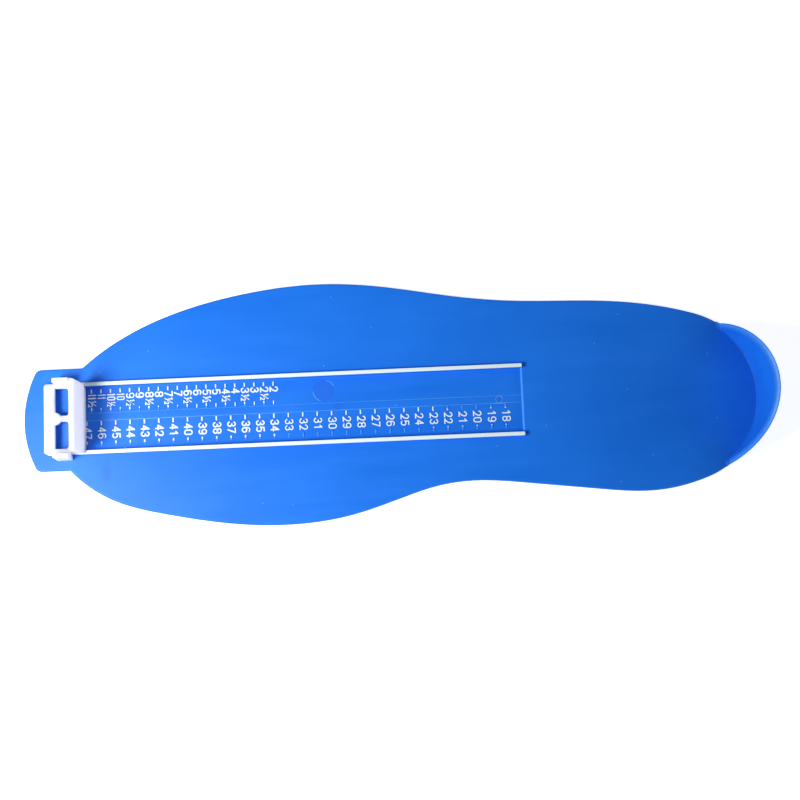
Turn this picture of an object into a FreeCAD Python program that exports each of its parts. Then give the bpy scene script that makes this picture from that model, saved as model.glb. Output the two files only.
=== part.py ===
import FreeCAD, Part
import math
import os
from FreeCAD import Vector

# Foot measuring gauge: a foot-shaped plate with a heel cup, a sunk scale channel between two
# snap rails, and a toe slider that clips over the rails.
#
# Millimetres. X = 0 is the inner face of the heel cup, where every foot length is measured from,
# and the toes lie towards -X. Y = 0 is the middle of the channel, with the UK scale on its +Y
# side. Z = 0 is the flat underside.

# ---- sizes on the scales --------------------------------------------------------------------
PARIS_POINT = 20.0 / 3.0        # one continental size
HEEL_ALLOWANCE = 5.2            # a size's tick lies this much short of its full shoe length
EU_SMALLEST = 18
EU_LARGEST = 47
UK_SMALLEST = 2.0
UK_LARGEST = 11.5
UK_HALF_STEP = PARIS_POINT * 2.0 / 3.0   # three half sizes for every two continental ones
EU_SIZE_AT_UK_SMALLEST = 34

# ---- raised marks and foil ------------------------------------------------------------------
FOIL_THICKNESS = 0.05
MARK_RELIEF = 0.3
STROKE = 0.7                    # line thickness of a digit
HALF_STROKE = 0.5               # and of a one-half sign
TICK_WIDTH = 0.75
DIGIT_WIDTH = 2.65
DIGIT_GAP = 0.25
DIGIT_SPACING_LENGTHWISE = 0.34 # left between one label and the next along the channel
DIGIT_LEAN_TO_HEEL = 0.3        # characters are centred this far off their tick
NARROW_DIGIT_WIDTH = 2.0        # digits of the two-digit UK sizes
NARROW_ONE_WIDTH = 1.15
HALF_SIGN_WIDTH = 3.3           # after a single digit

# Each strip from its +Y edge to its -Y edge: edge, tick, gap, label, gap, tick, edge.
EU_STRIP_EDGE = 0.4
EU_TOP_TICK = 2.1
EU_TOP_GAP = 0.7
EU_LOW_GAP = 1.0
EU_LOW_TICK = 2.2
UK_STRIP_EDGE = 0.6
UK_TOP_TICK = 2.0
UK_TOP_GAP = 0.25
UK_LOW_GAP = 0.3
UK_LOW_TICK = 2.4
LOW_STRIP_EDGE = 0.12

# ---- channel and rails ----------------------------------------------------------------------
CHANNEL_DEPTH = 1.2
CHANNEL_BEYOND_SMALLEST = 7.6   # floor beyond the smallest size's tick
CHANNEL_END_SLOPE = 0.7         # run of the sloped end wall
STRIP_SINK = 0.12               # each scale stands on a strip sunk a little deeper
STRIP_BAND = 3.2                # floor left between the strips
UK_STRIP_MARGIN = 0.55          # floor left beside the +Y rail
EU_STRIP_MARGIN = 1.9           # and beside the -Y rail
RAIL_WIDTH = 1.9
RAIL_HEIGHT = 2.0               # above the plate
RAIL_LIP_THICKNESS = 0.9
RAIL_LIP_OVERHANG = 0.6         # the lip faces outwards
RAIL_INSET = 1.0                # rails start this far inside the slider's toe edge
STRIPE_EDGE = 0.1               # bare plastic left each side of a rail's stripe
EJECTOR_MARK_RADIUS = 5.0
EJECTOR_MARK_DEPTH = 0.08
EJECTOR_MARK_SIZE = 30.48       # its place along the EU scale
PIN_MARK_RADIUS = 1.6
PIN_MARK_SIZES = (29.55, 18.4)

# ---- slider ---------------------------------------------------------------------------------
TOE_BAR = 5.05                  # deck from the toe edge to the windows
WINDOW_LENGTH = 6.45
WALL_BAR = 4.65                 # deck from the windows to the wall
TOE_WALL = 2.25
TOE_WALL_HEIGHT = 21.8          # above the channel floor
TOE_WALL_CORNER = 1.0
TOE_WALL_FOOT_ROUND = 1.2
TOE_FACE_BEYOND_LARGEST = 0.25  # the wall's face stands this far beyond the largest size's tick
DECK_INSIDE_RAIL = 0.5          # the deck stops this far inside each rail's outer edge
DECK_THICKNESS = 1.8
DECK_CORNER = 1.2
DECK_TOP_ROUND = 0.5
WINDOW_SIDE_BAR = 2.27          # deck left outside each window
WINDOW_ROUND = 1.4              # on the corners near the wall
WEB_WIDTH = 2.7                 # deck left between the windows
BOSS_RADIUS = 2.9
BOSS_RISE = 0.3
CHEEK_FROM_TOE_EDGE = 5.2
CHEEK_LENGTH = 7.2
CHEEK_HEIGHT = 9.4              # above the plate
CHEEK_FOOT_THICKNESS = 2.3
CHEEK_TOP_THICKNESS = 1.9
CHEEK_LEAN = 1.0                # the outer face leans in by this much at the top
CHEEK_CORNER = 0.5
STOP_SKIRT = 1.8                # thickness of the skirt below the deck's toe bar
END_GAP = 0.2                   # left at each end stop
SIDE_GAP = 0.25                 # cheeks to rails, and feet to channel walls
LIFT_GAP = 0.2                  # deck, hooks and cheeks to what they pass over
MARK_GAP = 0.2                  # feet to the raised marks

# ---- plate ----------------------------------------------------------------------------------
PLATE_THICKNESS = 3.0
PLATE_TOP_ROUND = 0.8
PLATE_BOTTOM_ROUND = 0.4
SHOULDER_BEYOND_LARGEST = 1.8   # the +Y shoulder lies this far beyond the largest size's tick
INNER_SHOULDER_SETBACK = 6.1    # and the -Y shoulder this much further
SHOULDER_RADIUS = 1.5           # concave rounding from the blade to the tab
OUTER_BALL_WIDTH = 58.4         # channel middle to the widest point, +Y side
INNER_BALL_WIDTH = 52.7         # the same, -Y side
TAB_END_MARGIN = 10.4           # tab beyond the slider's toe edge
TAB_SIDE_MARGIN = 4.5           # tab beyond each cheek
TAB_END_RADIUS = 49.5
TAB_CORNER_RADIUS = 3.2

# ---- heel cup -------------------------------------------------------------------------------
HEEL_RADIUS = 38.0              # inner face
HEEL_MIDDLE_Y = -1.3            # the cup's centre is a little to the -Y side
HEEL_WALL = 2.0
HEEL_HEIGHT = 34.3              # above the plate, at the back
HEEL_MID_HEIGHT = 19.8          # above the plate, HEEL_MID_REACH in front of the back
HEEL_MID_REACH = 9.6
HEEL_NOSE_REACH = 16.8          # the rim meets its low nose this far in front of the back
HEEL_NOSE_HEIGHT = 1.0
HEEL_NOSE_LENGTH = 1.4
HEEL_OUTER_JOIN_ANGLE = 72.0    # degrees round the cup where the blade's edge takes over
HEEL_INNER_JOIN_ANGLE = -70.0
HEEL_FOOT_ROUND = 0.25          # fillet between the cup's inner face and the plate

# ---- what follows from those ----------------------------------------------------------------
DIGIT_HEIGHT = UK_HALF_STEP - DIGIT_SPACING_LENGTHWISE
EU_LABEL = 2.0 * DIGIT_WIDTH + DIGIT_GAP
UK_LABEL = DIGIT_WIDTH + DIGIT_GAP + HALF_SIGN_WIDTH
EU_LABEL_FROM = EU_STRIP_EDGE + EU_TOP_TICK + EU_TOP_GAP
UK_LABEL_FROM = UK_STRIP_EDGE + UK_TOP_TICK + UK_TOP_GAP
EU_LOW_TICK_FROM = EU_LABEL_FROM + EU_LABEL + EU_LOW_GAP
UK_LOW_TICK_FROM = UK_LABEL_FROM + UK_LABEL + UK_LOW_GAP
EU_STRIP_WIDTH = EU_LOW_TICK_FROM + EU_LOW_TICK + LOW_STRIP_EDGE
UK_STRIP_WIDTH = UK_LOW_TICK_FROM + UK_LOW_TICK + LOW_STRIP_EDGE
CHANNEL_WIDTH = UK_STRIP_MARGIN + UK_STRIP_WIDTH + STRIP_BAND + EU_STRIP_WIDTH + EU_STRIP_MARGIN
RAIL_IN_Y = CHANNEL_WIDTH / 2.0
RAIL_OUT_Y = RAIL_IN_Y + RAIL_WIDTH
UK_STRIP_TOP_Y = RAIL_IN_Y - UK_STRIP_MARGIN
EU_STRIP_TOP_Y = UK_STRIP_TOP_Y - UK_STRIP_WIDTH - STRIP_BAND
FLOOR_Z = PLATE_THICKNESS - CHANNEL_DEPTH
STRIP_Z = FLOOR_Z - STRIP_SINK
RAIL_TOP_Z = PLATE_THICKNESS + RAIL_HEIGHT
RAIL_LIP_Z = RAIL_TOP_Z - RAIL_LIP_THICKNESS
DECK_Z = RAIL_TOP_Z + FOIL_THICKNESS + LIFT_GAP
DECK_HALF_WIDTH = RAIL_OUT_Y - DECK_INSIDE_RAIL
FOOT_Z = STRIP_Z + MARK_RELIEF + MARK_GAP
FOOT_HALF_WIDTH = RAIL_IN_Y - SIDE_GAP
CHEEK_FOOT_Y = RAIL_OUT_Y + SIDE_GAP + CHEEK_FOOT_THICKNESS
SLIDER_LENGTH = TOE_BAR + WINDOW_LENGTH + WALL_BAR + TOE_WALL
HEEL_CENTRE = Vector(-HEEL_RADIUS, HEEL_MIDDLE_Y, 0)
HEEL_OUTER_RADIUS = HEEL_RADIUS + HEEL_WALL


def eu_x(size):
    """Where a continental size's tick lies."""
    return -(size * PARIS_POINT - HEEL_ALLOWANCE)


def uk_x(size):
    """Where a UK size's tick lies: the smallest lines up with a continental tick."""
    half_sizes = (size - UK_SMALLEST) * 2.0
    return eu_x(EU_SIZE_AT_UK_SMALLEST) - half_sizes * UK_HALF_STEP


TOE_FACE_X = eu_x(EU_LARGEST) - TOE_FACE_BEYOND_LARGEST
SLIDER_TOE_X = TOE_FACE_X - SLIDER_LENGTH
CHANNEL_END_X = eu_x(EU_SMALLEST) + CHANNEL_BEYOND_SMALLEST
CHANNEL_START_X = SLIDER_TOE_X - END_GAP
RAIL_START_X = SLIDER_TOE_X + RAIL_INSET
RAIL_END_X = CHANNEL_END_X + CHANNEL_END_SLOPE
SLIDER_TRAVEL = CHANNEL_END_X - END_GAP - TOE_FACE_X
BLADE_LENGTH = SHOULDER_BEYOND_LARGEST - eu_x(EU_LARGEST)
TAB_HALF_WIDTH = CHEEK_FOOT_Y + TAB_SIDE_MARGIN
TAB_END_X = SLIDER_TOE_X - TAB_END_MARGIN


# ---- small helpers --------------------------------------------------------------------------
def box(x0, x1, y0, y1, z0, z1):
    return Part.makeBox(x1 - x0, y1 - y0, z1 - z0, Vector(x0, y0, z0))


def prism_along_x(outline_yz, x0, x1):
    """A closed (y, z) outline carried from x0 to x1."""
    points = [Vector(x0, y, z) for y, z in outline_yz]
    return Part.Face(Part.makePolygon(points + points[:1])).extrude(Vector(x1 - x0, 0, 0))


def round_edges(solid, radius, wanted):
    """Rounds the edges that the test picks."""
    return solid.makeFillet(radius, [e for e in solid.Edges if wanted(e)])


def lies_at_z(edge, z):
    return abs(edge.BoundBox.ZMin - z) < 1e-4 and abs(edge.BoundBox.ZMax - z) < 1e-4


def stands_upright(edge):
    b = edge.BoundBox
    return b.XLength < 1e-4 and b.YLength < 1e-4 and b.ZLength > 0.1


def spline(points):
    curve = Part.BSplineCurve()
    curve.interpolate(Points=points)
    return curve.toShape()


def on_heel_circle(radius, angle_deg):
    angle = math.radians(angle_deg)
    return HEEL_CENTRE + Vector(radius * math.cos(angle), radius * math.sin(angle), 0)


# ---- base plate -----------------------------------------------------------------------------
# Each edge of the blade: (share of the blade's length from the heel, share of the ball's width).
OUTER_EDGE = ((0.180, 0.743), (0.251, 0.774), (0.347, 0.795), (0.442, 0.856), (0.537, 0.949),
              (0.645, 1.000), (0.754, 0.949), (0.851, 0.830), (0.924, 0.675), (0.970, 0.531))
INNER_EDGE = ((0.990, 0.608), (0.954, 0.732), (0.881, 0.862), (0.786, 0.966), (0.697, 1.000),
              (0.598, 0.931), (0.526, 0.803), (0.478, 0.721), (0.419, 0.685), (0.337, 0.728),
              (0.244, 0.797), (0.175, 0.836), (0.127, 0.816))


def tab_edges():
    """The tab: two straight sides, two rounded corners and a shallow curved end."""
    end_centre = Vector(TAB_END_X + TAB_END_RADIUS, 0, 0)
    # A corner's circle touches the side and the inside of the end's circle.
    corner_y = TAB_HALF_WIDTH - TAB_CORNER_RADIUS
    reach = TAB_END_RADIUS - TAB_CORNER_RADIUS
    corner_x = end_centre.x - math.sqrt(reach ** 2 - corner_y ** 2)
    edges = []
    start = Vector(-BLADE_LENGTH, TAB_HALF_WIDTH, 0)
    inner_start = Vector(-BLADE_LENGTH - INNER_SHOULDER_SETBACK, -TAB_HALF_WIDTH, 0)
    outward = (Vector(corner_x, corner_y, 0) - end_centre).normalize()
    on_end = end_centre + outward * TAB_END_RADIUS
    on_side = Vector(corner_x, TAB_HALF_WIDTH, 0)
    between = (outward + Vector(0, 1, 0)).normalize() * TAB_CORNER_RADIUS
    on_corner = Vector(corner_x, corner_y, 0) + between
    edges.append(Part.makeLine(start, on_side))
    edges.append(Part.Arc(on_side, on_corner, on_end).toShape())
    mirrored_end = Vector(on_end.x, -on_end.y, 0)
    edges.append(Part.Arc(on_end, Vector(TAB_END_X, 0, 0), mirrored_end).toShape())
    mirrored_corner = Vector(on_corner.x, -on_corner.y, 0)
    mirrored_side = Vector(on_side.x, -on_side.y, 0)
    edges.append(Part.Arc(mirrored_end, mirrored_corner, mirrored_side).toShape())
    edges.append(Part.makeLine(mirrored_side, inner_start))
    return start, inner_start, edges


def joining_curve(start, start_direction, end, end_direction):
    """A smooth curve that leaves and arrives along given directions."""
    reach = start.distanceToPoint(end) / 3.0
    curve = Part.BezierCurve()
    curve.setPoles([start, start + start_direction * reach, end - end_direction * reach, end])
    return curve.toShape()


def heel_direction(angle_deg):
    """The way the outline runs round the heel, anticlockwise."""
    angle = math.radians(angle_deg)
    return Vector(-math.sin(angle), math.cos(angle), 0)


def plate_outline():
    tab_start, tab_finish, tab = tab_edges()
    outer_join = on_heel_circle(HEEL_OUTER_RADIUS, HEEL_OUTER_JOIN_ANGLE)
    inner_join = on_heel_circle(HEEL_OUTER_RADIUS, HEEL_INNER_JOIN_ANGLE)
    outer = [Vector(-u * BLADE_LENGTH, v * OUTER_BALL_WIDTH, 0) for u, v in OUTER_EDGE]
    inner = [Vector(-u * BLADE_LENGTH, -v * INNER_BALL_WIDTH, 0) for u, v in INNER_EDGE]
    outer_side = spline(outer + [tab_start])
    inner_side = spline([tab_finish] + inner)
    # Each link runs on smoothly from both its neighbours, however long or wide the blade is.
    outer_link = joining_curve(outer_join, heel_direction(HEEL_OUTER_JOIN_ANGLE),
                               outer[0], outer_side.tangentAt(outer_side.FirstParameter))
    inner_link = joining_curve(inner[-1], inner_side.tangentAt(inner_side.LastParameter),
                               inner_join, heel_direction(HEEL_INNER_JOIN_ANGLE))
    heel = Part.Arc(inner_join, on_heel_circle(HEEL_OUTER_RADIUS, 0), outer_join).toShape()
    return Part.Wire([heel, outer_link, outer_side] + tab + [inner_side, inner_link])


def heel_wall():
    """The cup's wall: a ring cut to length, its rim falling along an arc to a low nose."""
    back_x = HEEL_WALL
    nose_x = back_x - HEEL_NOSE_REACH
    front_x = nose_x - HEEL_NOSE_LENGTH
    base_z = PLATE_BOTTOM_ROUND
    top_z = PLATE_THICKNESS + HEEL_HEIGHT
    nose_z = PLATE_THICKNESS + HEEL_NOSE_HEIGHT
    mid = Vector(back_x - HEEL_MID_REACH, 0, PLATE_THICKNESS + HEEL_MID_HEIGHT)
    side = Part.Wire([
        Part.makeLine(Vector(front_x, 0, base_z), Vector(back_x, 0, base_z)),
        Part.makeLine(Vector(back_x, 0, base_z), Vector(back_x, 0, top_z)),
        Part.Arc(Vector(back_x, 0, top_z), mid, Vector(nose_x, 0, nose_z)).toShape(),
        Part.makeLine(Vector(nose_x, 0, nose_z), Vector(front_x, 0, nose_z)),
        Part.makeLine(Vector(front_x, 0, nose_z), Vector(front_x, 0, base_z)),
    ])
    width = 2.0 * HEEL_OUTER_RADIUS + 2.0
    side_solid = Part.Face(side).extrude(Vector(0, width, 0))
    side_solid.translate(Vector(0, HEEL_MIDDLE_Y - width / 2.0, 0))
    ring = Part.makeCylinder(HEEL_OUTER_RADIUS, top_z, HEEL_CENTRE).cut(
        Part.makeCylinder(HEEL_RADIUS, top_z, HEEL_CENTRE))
    return ring.common(side_solid)


def rail_profile(side):
    """An upright rail with a lip that faces outwards; side is +1 or -1."""
    neck_y = RAIL_OUT_Y - RAIL_LIP_OVERHANG
    points = ((RAIL_IN_Y, FLOOR_Z), (neck_y, FLOOR_Z), (neck_y, RAIL_LIP_Z),
              (RAIL_OUT_Y, RAIL_LIP_Z), (RAIL_OUT_Y, RAIL_TOP_Z), (RAIL_IN_Y, RAIL_TOP_Z))
    return [(side * y, z) for y, z in points]


def channel_recess():
    """What the channel takes out of the plate, with its sloped end wall and two sunk strips."""
    above = PLATE_THICKNESS + 1.0
    slope_at_top = CHANNEL_END_SLOPE * (above - FLOOR_Z) / CHANNEL_DEPTH
    points = [Vector(CHANNEL_START_X, 0, FLOOR_Z), Vector(CHANNEL_END_X, 0, FLOOR_Z),
              Vector(CHANNEL_END_X + slope_at_top, 0, above), Vector(CHANNEL_START_X, 0, above)]
    side = Part.Face(Part.makePolygon(points + points[:1]))
    side.translate(Vector(0, -RAIL_IN_Y, 0))
    recess = side.extrude(Vector(0, CHANNEL_WIDTH, 0))
    for top_y, width in ((UK_STRIP_TOP_Y, UK_STRIP_WIDTH), (EU_STRIP_TOP_Y, EU_STRIP_WIDTH)):
        strip = box(TOE_FACE_X - TOE_WALL, CHANNEL_END_X, top_y - width, top_y,
                    STRIP_Z, FLOOR_Z + 0.5)
        recess = recess.fuse(strip)
    return recess


def mould_marks():
    """Shallow discs that the mould's ejectors leave in the channel floor."""
    in_uk_strip = UK_STRIP_TOP_Y - UK_STRIP_WIDTH / 2.0
    in_band = EU_STRIP_TOP_Y + STRIP_BAND / 2.0
    centre = Vector(eu_x(EJECTOR_MARK_SIZE), in_uk_strip, STRIP_Z - EJECTOR_MARK_DEPTH)
    marks = [Part.makeCylinder(EJECTOR_MARK_RADIUS, 1.0, centre)]
    for size in PIN_MARK_SIZES:
        centre = Vector(eu_x(size), in_band, FLOOR_Z - EJECTOR_MARK_DEPTH)
        marks.append(Part.makeCylinder(PIN_MARK_RADIUS, 1.0, centre))
    return marks


def base_plate():
    plate = Part.Face(plate_outline()).extrude(Vector(0, 0, PLATE_THICKNESS))

    def at_shoulder(edge):
        b = edge.BoundBox
        at_tab_side = abs(abs(b.YMin) - TAB_HALF_WIDTH) < 1e-3
        inner_shoulder_x = -BLADE_LENGTH - INNER_SHOULDER_SETBACK
        return stands_upright(edge) and at_tab_side and b.XMin > inner_shoulder_x - 0.1
    plate = round_edges(plate, SHOULDER_RADIUS, at_shoulder)
    plate = round_edges(plate, PLATE_TOP_ROUND, lambda e: lies_at_z(e, PLATE_THICKNESS))
    plate = round_edges(plate, PLATE_BOTTOM_ROUND, lambda e: lies_at_z(e, 0.0))
    plate = plate.fuse(heel_wall())
    plate = plate.cut(channel_recess())
    for side in (1.0, -1.0):
        plate = plate.fuse(prism_along_x(rail_profile(side), RAIL_START_X, RAIL_END_X))
    for mark in mould_marks():
        plate = plate.cut(mark)
    plate = plate.removeSplitter()
    return round_heel_foot(plate)


def round_heel_foot(plate):
    """Blends the cup's inner face into the plate."""
    def foot_of_cup(edge):
        at_plate = lies_at_z(edge, PLATE_THICKNESS)
        circle = isinstance(edge.Curve, Part.Circle)
        return at_plate and circle and abs(edge.Curve.Radius - HEEL_RADIUS) < 1e-4
    return round_edges(plate, HEEL_FOOT_ROUND, foot_of_cup)


# ---- foil and marks -------------------------------------------------------------------------
def rail_stripe(side):
    y0 = RAIL_IN_Y + STRIPE_EDGE
    y1 = RAIL_OUT_Y - STRIPE_EDGE
    low, high = sorted((side * y0, side * y1))
    return box(RAIL_START_X + STRIPE_EDGE, RAIL_END_X - STRIPE_EDGE, low, high,
               RAIL_TOP_Z, RAIL_TOP_Z + FOIL_THICKNESS)


def straight_stroke(edge, width):
    """A round-ended bar along a straight edge."""
    a, b = (v.Point for v in edge.Vertexes)
    along = (b - a).normalize() * (width / 2.0)
    across = Vector(-along.y, along.x, 0)
    return Part.Face(Part.Wire([
        Part.makeLine(a + across, b + across),
        Part.Arc(b + across, b + along, b - across).toShape(),
        Part.makeLine(b - across, a - across),
        Part.Arc(a - across, a - along, a + across).toShape(),
    ]))


def curved_stroke(edge, width):
    """A round-ended band along an arc."""
    return Part.Wire([edge]).makeOffset2D(width / 2.0, 0, True, False)


def strokes(edges, width):
    """One stroke for each edge."""
    faces = []
    for edge in edges:
        is_straight = isinstance(edge.Curve, Part.Line)
        faces.append(straight_stroke(edge, width) if is_straight else curved_stroke(edge, width))
    return faces


def loop(edges, width):
    """A closed stroke, such as a nought."""
    wire = Part.Wire(edges)
    outside = Part.Face(wire.makeOffset2D(width / 2.0, 0, False, False))
    inside = Part.Face(wire.makeOffset2D(-width / 2.0, 0, False, False))
    return outside.cut(inside)


def digit_faces(character, w, h, width):
    """Strokes of one digit. w and h are the size of its middle line, from (0, 0)."""
    def at(u, v):
        return Vector(u * w, v * h, 0)

    def line(a, b):
        return Part.makeLine(a, b)

    def arc(a, b, c):
        return Part.Arc(a, b, c).toShape()

    def oval(low, high):
        """A closed oval of the digit's full width between two heights."""
        r = min(w / 2.0, (high - low) * h / 2.0) - 1e-3
        x0, x1, y0, y1 = 0.0, w, low * h, high * h
        c = r * (1.0 - math.sqrt(0.5))
        return [line(Vector(x0 + r, y0, 0), Vector(x1 - r, y0, 0)),
                arc(Vector(x1 - r, y0, 0), Vector(x1 - c, y0 + c, 0), Vector(x1, y0 + r, 0)),
                line(Vector(x1, y0 + r, 0), Vector(x1, y1 - r, 0)),
                arc(Vector(x1, y1 - r, 0), Vector(x1 - c, y1 - c, 0), Vector(x1 - r, y1, 0)),
                line(Vector(x1 - r, y1, 0), Vector(x0 + r, y1, 0)),
                arc(Vector(x0 + r, y1, 0), Vector(x0 + c, y1 - c, 0), Vector(x0, y1 - r, 0)),
                line(Vector(x0, y1 - r, 0), Vector(x0, y0 + r, 0)),
                arc(Vector(x0, y0 + r, 0), Vector(x0 + c, y0 + c, 0), Vector(x0 + r, y0, 0))]

    def without(face, *areas):
        """The face less some areas, each from u0 to u1 and from v0 to v1."""
        for u0, u1, v0, v1 in areas:
            corners = [at(u0, v0), at(u1, v0), at(u1, v1), at(u0, v1)]
            face = face.cut(Part.Face(Part.makePolygon(corners + corners[:1])))
        return face

    if character == "0":
        return [loop(oval(0.0, 1.0), width)]
    if character == "1":
        return strokes([line(at(0.2, 0.75), at(0.62, 1.0)), line(at(0.62, 1.0), at(0.62, 0.0))],
                       width)
    if character == "2":
        return strokes([arc(at(0.0, 0.76), at(0.42, 1.0), at(0.95, 0.78)),
                        arc(at(0.95, 0.78), at(0.80, 0.47), at(0.0, 0.0)),
                        line(at(0.0, 0.0), at(1.0, 0.0))], width)
    if character == "3":
        return strokes([arc(at(0.05, 0.84), at(0.55, 1.0), at(0.92, 0.77)),
                        arc(at(0.92, 0.77), at(0.78, 0.58), at(0.45, 0.53)),
                        arc(at(0.45, 0.53), at(0.97, 0.27), at(0.45, 0.0)),
                        arc(at(0.45, 0.0), at(0.13, 0.07), at(0.0, 0.20))], width)
    if character == "4":
        return strokes([line(at(0.74, 0.0), at(0.74, 1.0)), line(at(0.74, 1.0), at(0.0, 0.30)),
                        line(at(0.0, 0.30), at(1.0, 0.30))], width)
    if character == "5":
        bowl = without(loop(oval(0.0, 0.62), width), (-1.0, 0.5, 0.17, 0.47))
        stem = strokes([line(at(0.92, 1.0), at(0.14, 1.0)), line(at(0.14, 1.0), at(0.04, 0.49))],
                       width)
        return [bowl] + stem
    if character == "6":
        tail = without(loop(oval(0.0, 1.0), width), (-1.0, 2.0, -1.0, 0.3), (0.5, 2.0, 0.0, 0.84))
        return [loop(oval(0.0, 0.60), width), tail]
    if character == "7":
        return strokes([line(at(0.0, 1.0), at(1.0, 1.0)), line(at(1.0, 1.0), at(0.32, 0.0))],
                       width)
    if character == "8":
        return [loop(oval(0.0, 0.53), width), loop(oval(0.53, 1.0), width)]
    tail = without(loop(oval(0.0, 1.0), width), (-1.0, 2.0, 0.7, 2.0), (-1.0, 0.5, 0.16, 1.0))
    return [loop(oval(0.40, 1.0), width), tail]


def raise_faces(faces):
    """One raised solid from faces that cross or touch."""
    prisms = [face.extrude(Vector(0, 0, MARK_RELIEF)) for face in faces]
    solid = prisms[0]
    for prism in prisms[1:]:
        solid = solid.fuse(prism)
    return solid.removeSplitter()


def digit(character, width):
    """A raised digit with its lower left corner at the origin, reading along +X."""
    faces = digit_faces(character, width - STROKE, DIGIT_HEIGHT - STROKE, STROKE)
    solid = raise_faces(faces)
    solid.translate(Vector(STROKE / 2.0, STROKE / 2.0, 0))
    return solid


def half_sign(width):
    """A raised one-half: a small 1, a slanting bar and a small 2."""
    small_h = DIGIT_HEIGHT * 0.46
    small_w = width * 0.32
    one = digit_faces("1", small_w, small_h, HALF_STROKE)
    two = digit_faces("2", small_w, small_h, HALF_STROKE)
    for face in one:
        face.translate(Vector(0, DIGIT_HEIGHT - small_h - HALF_STROKE, 0))
    for face in two:
        face.translate(Vector(width - small_w - HALF_STROKE, 0, 0))
    foot = Vector(0.1 * width, 0.05 * DIGIT_HEIGHT, 0)
    head = Vector(0.72 * width, 0.85 * DIGIT_HEIGHT, 0)
    solid = raise_faces(one + two + strokes([Part.makeLine(foot, head)], HALF_STROKE))
    solid.translate(Vector(HALF_STROKE / 2.0, HALF_STROKE / 2.0, 0))
    return solid


def placed(shape, x, top_y, along):
    """A raised character turned to read towards -Y, starting `along` below top_y at x."""
    copy = shape.copy()
    copy.rotate(Vector(0, 0, 0), Vector(0, 0, 1), -90)
    copy.translate(Vector(x - DIGIT_HEIGHT / 2.0 + DIGIT_LEAN_TO_HEEL, top_y - along, STRIP_Z))
    return copy


def tick(x, top_y, start, length):
    return box(x - TICK_WIDTH / 2.0, x + TICK_WIDTH / 2.0, top_y - start - length, top_y - start,
               STRIP_Z, STRIP_Z + MARK_RELIEF)


def eu_sizes():
    return range(EU_SMALLEST, EU_LARGEST + 1)


def uk_sizes():
    count = int(round((UK_LARGEST - UK_SMALLEST) * 2.0)) + 1
    return [UK_SMALLEST + 0.5 * i for i in range(count)]


def eu_ticks():
    ticks = []
    for size in eu_sizes():
        ticks.append(tick(eu_x(size), EU_STRIP_TOP_Y, EU_STRIP_EDGE, EU_TOP_TICK))
        ticks.append(tick(eu_x(size), EU_STRIP_TOP_Y, EU_LOW_TICK_FROM, EU_LOW_TICK))
    return ticks


def uk_ticks():
    ticks = []
    for size in uk_sizes():
        ticks.append(tick(uk_x(size), UK_STRIP_TOP_Y, UK_STRIP_EDGE, UK_TOP_TICK))
        ticks.append(tick(uk_x(size), UK_STRIP_TOP_Y, UK_LOW_TICK_FROM, UK_LOW_TICK))
    return ticks


def eu_numbers():
    shapes = {c: digit(c, DIGIT_WIDTH) for c in "0123456789"}
    solids = []
    for size in eu_sizes():
        for place, character in enumerate(str(size)):
            along = EU_LABEL_FROM + place * (DIGIT_WIDTH + DIGIT_GAP)
            solids.append(placed(shapes[character], eu_x(size), EU_STRIP_TOP_Y, along))
    return solids


def uk_digit_width(character, digits_in_size):
    """Single digits are full width; two digits and their one-half share the same space."""
    if digits_in_size == 1:
        return DIGIT_WIDTH
    return NARROW_ONE_WIDTH if character == "1" else NARROW_DIGIT_WIDTH


def uk_numbers():
    shapes = {(c, n): digit(c, uk_digit_width(c, n)) for c in "0123456789" for n in (1, 2)}
    solids = []
    for size in uk_sizes():
        characters = str(int(size))
        count = len(characters)
        along = UK_LABEL_FROM
        for character in characters:
            shape = shapes[character, count]
            solids.append(placed(shape, uk_x(size), UK_STRIP_TOP_Y, along))
            along += uk_digit_width(character, count) + DIGIT_GAP
        if size != int(size):
            half = half_sign(UK_LABEL_FROM + UK_LABEL - along)
            solids.append(placed(half, uk_x(size), UK_STRIP_TOP_Y, along))
    return solids


# ---- slider ---------------------------------------------------------------------------------
def deck():
    """The flat top, with two windows and the web between them."""
    top_z = DECK_Z + DECK_THICKNESS
    plate = box(SLIDER_TOE_X, TOE_FACE_X, -DECK_HALF_WIDTH, DECK_HALF_WIDTH, DECK_Z, top_z)
    plate = round_edges(plate, DECK_CORNER,
                        lambda e: stands_upright(e) and e.BoundBox.XMin < SLIDER_TOE_X + 0.1)
    plate = round_edges(plate, DECK_TOP_ROUND,
                        lambda e: lies_at_z(e, top_z) and e.BoundBox.XMin < TOE_FACE_X - 0.1)
    window_x = SLIDER_TOE_X + TOE_BAR
    near_wall_x = window_x + WINDOW_LENGTH
    for side in (1.0, -1.0):
        low, high = sorted((side * WEB_WIDTH / 2.0, side * (DECK_HALF_WIDTH - WINDOW_SIDE_BAR)))
        window = box(window_x, near_wall_x, low, high, DECK_Z - 1.0, top_z + 1.0)
        window = round_edges(window, WINDOW_ROUND,
                             lambda e: stands_upright(e) and e.BoundBox.XMax > near_wall_x - 0.1)
        plate = plate.cut(window)
    boss = Part.makeCylinder(BOSS_RADIUS, DECK_THICKNESS + BOSS_RISE, Vector(window_x, 0, DECK_Z))
    return plate.fuse(boss)


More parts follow.
